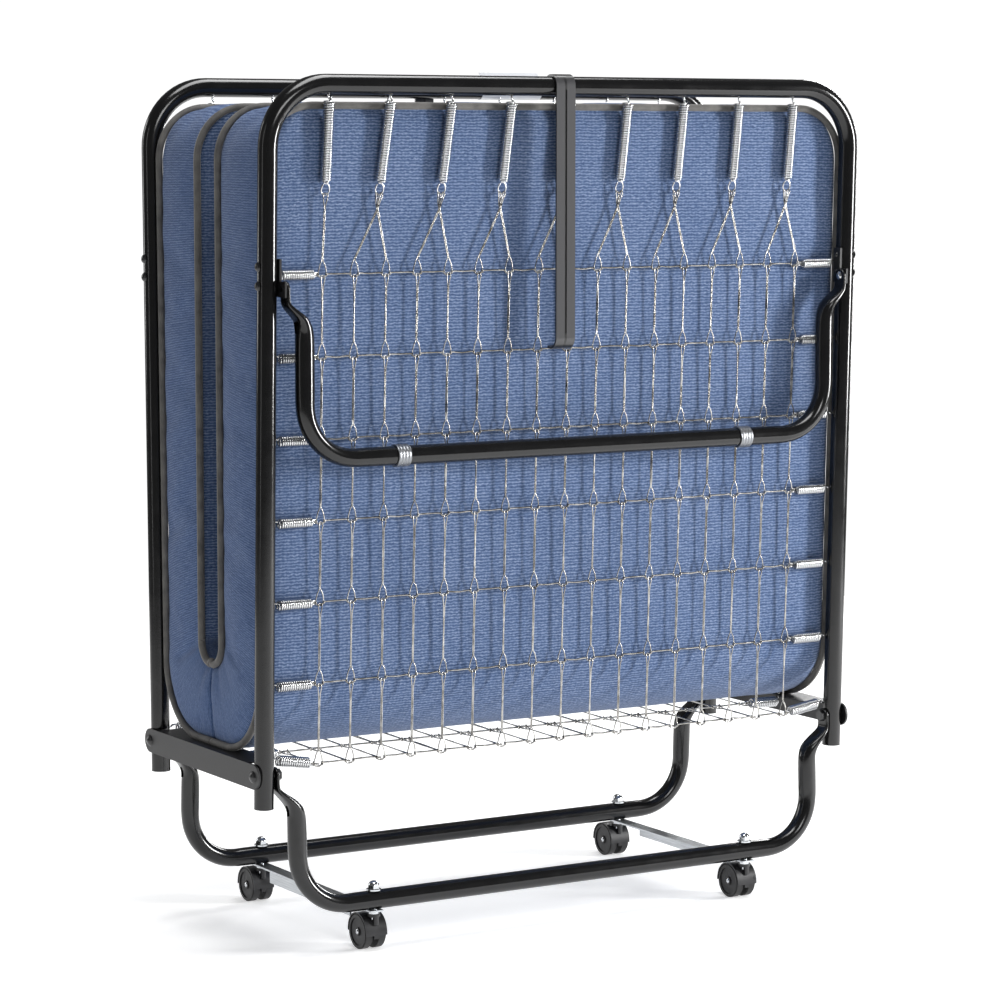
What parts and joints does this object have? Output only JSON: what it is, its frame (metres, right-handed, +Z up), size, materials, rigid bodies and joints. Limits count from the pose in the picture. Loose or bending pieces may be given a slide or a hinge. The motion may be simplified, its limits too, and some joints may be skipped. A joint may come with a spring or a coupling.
{
  "type": "folding cot",
  "caption": "Folding bed stored upright: hinged tubular link-spring frames around a folded mattress on a rolling base with swing-out end legs.",
  "frame": {"origin": "floor level under the middle of the rolling base, with the cot folded and standing on its casters", "axes": "+Z up; -Y towards the front frame's side; X along the frames' top bars, the width of the bed"},
  "size_m": [0.8134, 0.3522, 0.9932],
  "materials": {
    "frame_black": "gloss",
    "black_bolt": "gloss",
    "zinc_bar": "satin",
    "zinc_bright": "gloss",
    "spring_wire": "gloss",
    "mattress_fabric": "matte",
    "brace_strip": "satin",
    "black_plastic": "satin",
    "caster_plastic": "satin",
    "wheel_plastic": "satin",
    "grey_clip": "satin",
    "label_film": "gloss"
  },
  "bodies": {
    "base": {"side_bracket_left": "frame_black", "side_bracket_right": "frame_black", "base_leg_front": "frame_black", "base_leg_rear": "frame_black", "cross_bar_left": "zinc_bar", "cross_bar_right": "zinc_bar", "pivot_bolts": "black_bolt", "caster_stems": "zinc_bright", "cap_nuts": "zinc_bright", "centre_links": "spring_wire", "centre_springs": "spring_wire", "mattress_fold": "mattress_fabric"},
    "front": {"front_frame": "frame_black", "front_post_plugs": "black_plastic", "front_links": "spring_wire", "front_head_links": "spring_wire", "front_head_springs": "spring_wire", "front_side_springs": "spring_wire", "front_hinge_plates": "frame_black", "front_hinge_bolts": "black_bolt", "mattress_front": "mattress_fabric"},
    "rear": {"rear_frame": "frame_black", "rear_post_plugs": "black_plastic", "rear_links": "spring_wire", "rear_head_links": "spring_wire", "rear_head_springs": "spring_wire", "rear_side_springs": "spring_wire", "rear_hinge_plates": "frame_black", "rear_hinge_bolts": "black_bolt", "mattress_rear": "mattress_fabric", "blank_label": "label_film"},
    "front_leg": {"front_end_leg": "frame_black", "front_leg_pins": "zinc_bright", "front_foot_clips": "grey_clip"},
    "front_lock": {"front_brace": "brace_strip"},
    "rear_leg": {"rear_end_leg": "frame_black", "rear_leg_pins": "zinc_bright", "rear_foot_clips": "grey_clip"},
    "rear_lock": {"rear_brace": "brace_strip"},
    "caster_1": {"caster_hood_1": "caster_plastic"},
    "wheels_1": {"caster_axle_1": "zinc_bright", "caster_wheels_1": "wheel_plastic"},
    "caster_2": {"caster_hood_2": "caster_plastic"},
    "wheels_2": {"caster_axle_2": "zinc_bright", "caster_wheels_2": "wheel_plastic"},
    "caster_3": {"caster_hood_3": "caster_plastic"},
    "wheels_3": {"caster_axle_3": "zinc_bright", "caster_wheels_3": "wheel_plastic"},
    "caster_4": {"caster_hood_4": "caster_plastic"},
    "wheels_4": {"caster_axle_4": "zinc_bright", "caster_wheels_4": "wheel_plastic"}
  },
  "joints": [
    {"name": "front_fold", "type": "hinge", "parent": "base", "child": "front", "pos_m": [0, -0.1337, 0.212], "axis": [1, 0, 0], "range_deg": [0, 88.3]},
    {"name": "rear_fold", "type": "hinge", "parent": "base", "child": "rear", "pos_m": [0, 0.1337, 0.212], "axis": [-1, 0, 0], "range_deg": [0, 89.3]},
    {"name": "front_leg_swing", "type": "hinge", "parent": "front", "child": "front_leg", "pos_m": [0, -0.1623, 0.75], "axis": [-1, 0, 0], "range_deg": [0, 94.34]},
    {"name": "rear_leg_swing", "type": "hinge", "parent": "rear", "child": "rear_leg", "pos_m": [0, 0.15309, 0.75041], "axis": [1, 0, 0], "range_deg": [0, 95.32]},
    {"name": "front_lock_swing", "type": "hinge", "parent": "front", "child": "front_lock", "pos_m": [0, -0.15572, 0.97168], "axis": [-1, 0, 0], "range_deg": [0, 42.96]},
    {"name": "rear_lock_swing", "type": "hinge", "parent": "rear", "child": "rear_lock", "pos_m": [0, 0.14272, 0.97195], "axis": [1, 0, 0], "range_deg": [0, 43.94]},
    {"name": "caster_swivel_1", "type": "hinge", "parent": "base", "child": "caster_1", "pos_m": [-0.255, -0.1401, 0.035], "axis": [0, 0, 1], "continuous": true},
    {"name": "wheel_roll_1", "type": "hinge", "parent": "caster_1", "child": "wheels_1", "pos_m": [-0.255, -0.1251, 0.02], "axis": [1, 0, 0], "continuous": true},
    {"name": "caster_swivel_2", "type": "hinge", "parent": "base", "child": "caster_2", "pos_m": [0.255, -0.1401, 0.035], "axis": [0, 0, 1], "continuous": true},
    {"name": "wheel_roll_2", "type": "hinge", "parent": "caster_2", "child": "wheels_2", "pos_m": [0.255, -0.1251, 0.02], "axis": [1, 0, 0], "continuous": true},
    {"name": "caster_swivel_3", "type": "hinge", "parent": "base", "child": "caster_3", "pos_m": [-0.255, 0.1401, 0.035], "axis": [0, 0, 1], "continuous": true},
    {"name": "wheel_roll_3", "type": "hinge", "parent": "caster_3", "child": "wheels_3", "pos_m": [-0.255, 0.1551, 0.02], "axis": [1, 0, 0], "continuous": true},
    {"name": "caster_swivel_4", "type": "hinge", "parent": "base", "child": "caster_4", "pos_m": [0.255, 0.1401, 0.035], "axis": [0, 0, 1], "continuous": true},
    {"name": "wheel_roll_4", "type": "hinge", "parent": "caster_4", "child": "wheels_4", "pos_m": [0.255, 0.1551, 0.02], "axis": [1, 0, 0], "continuous": true}
  ]
}
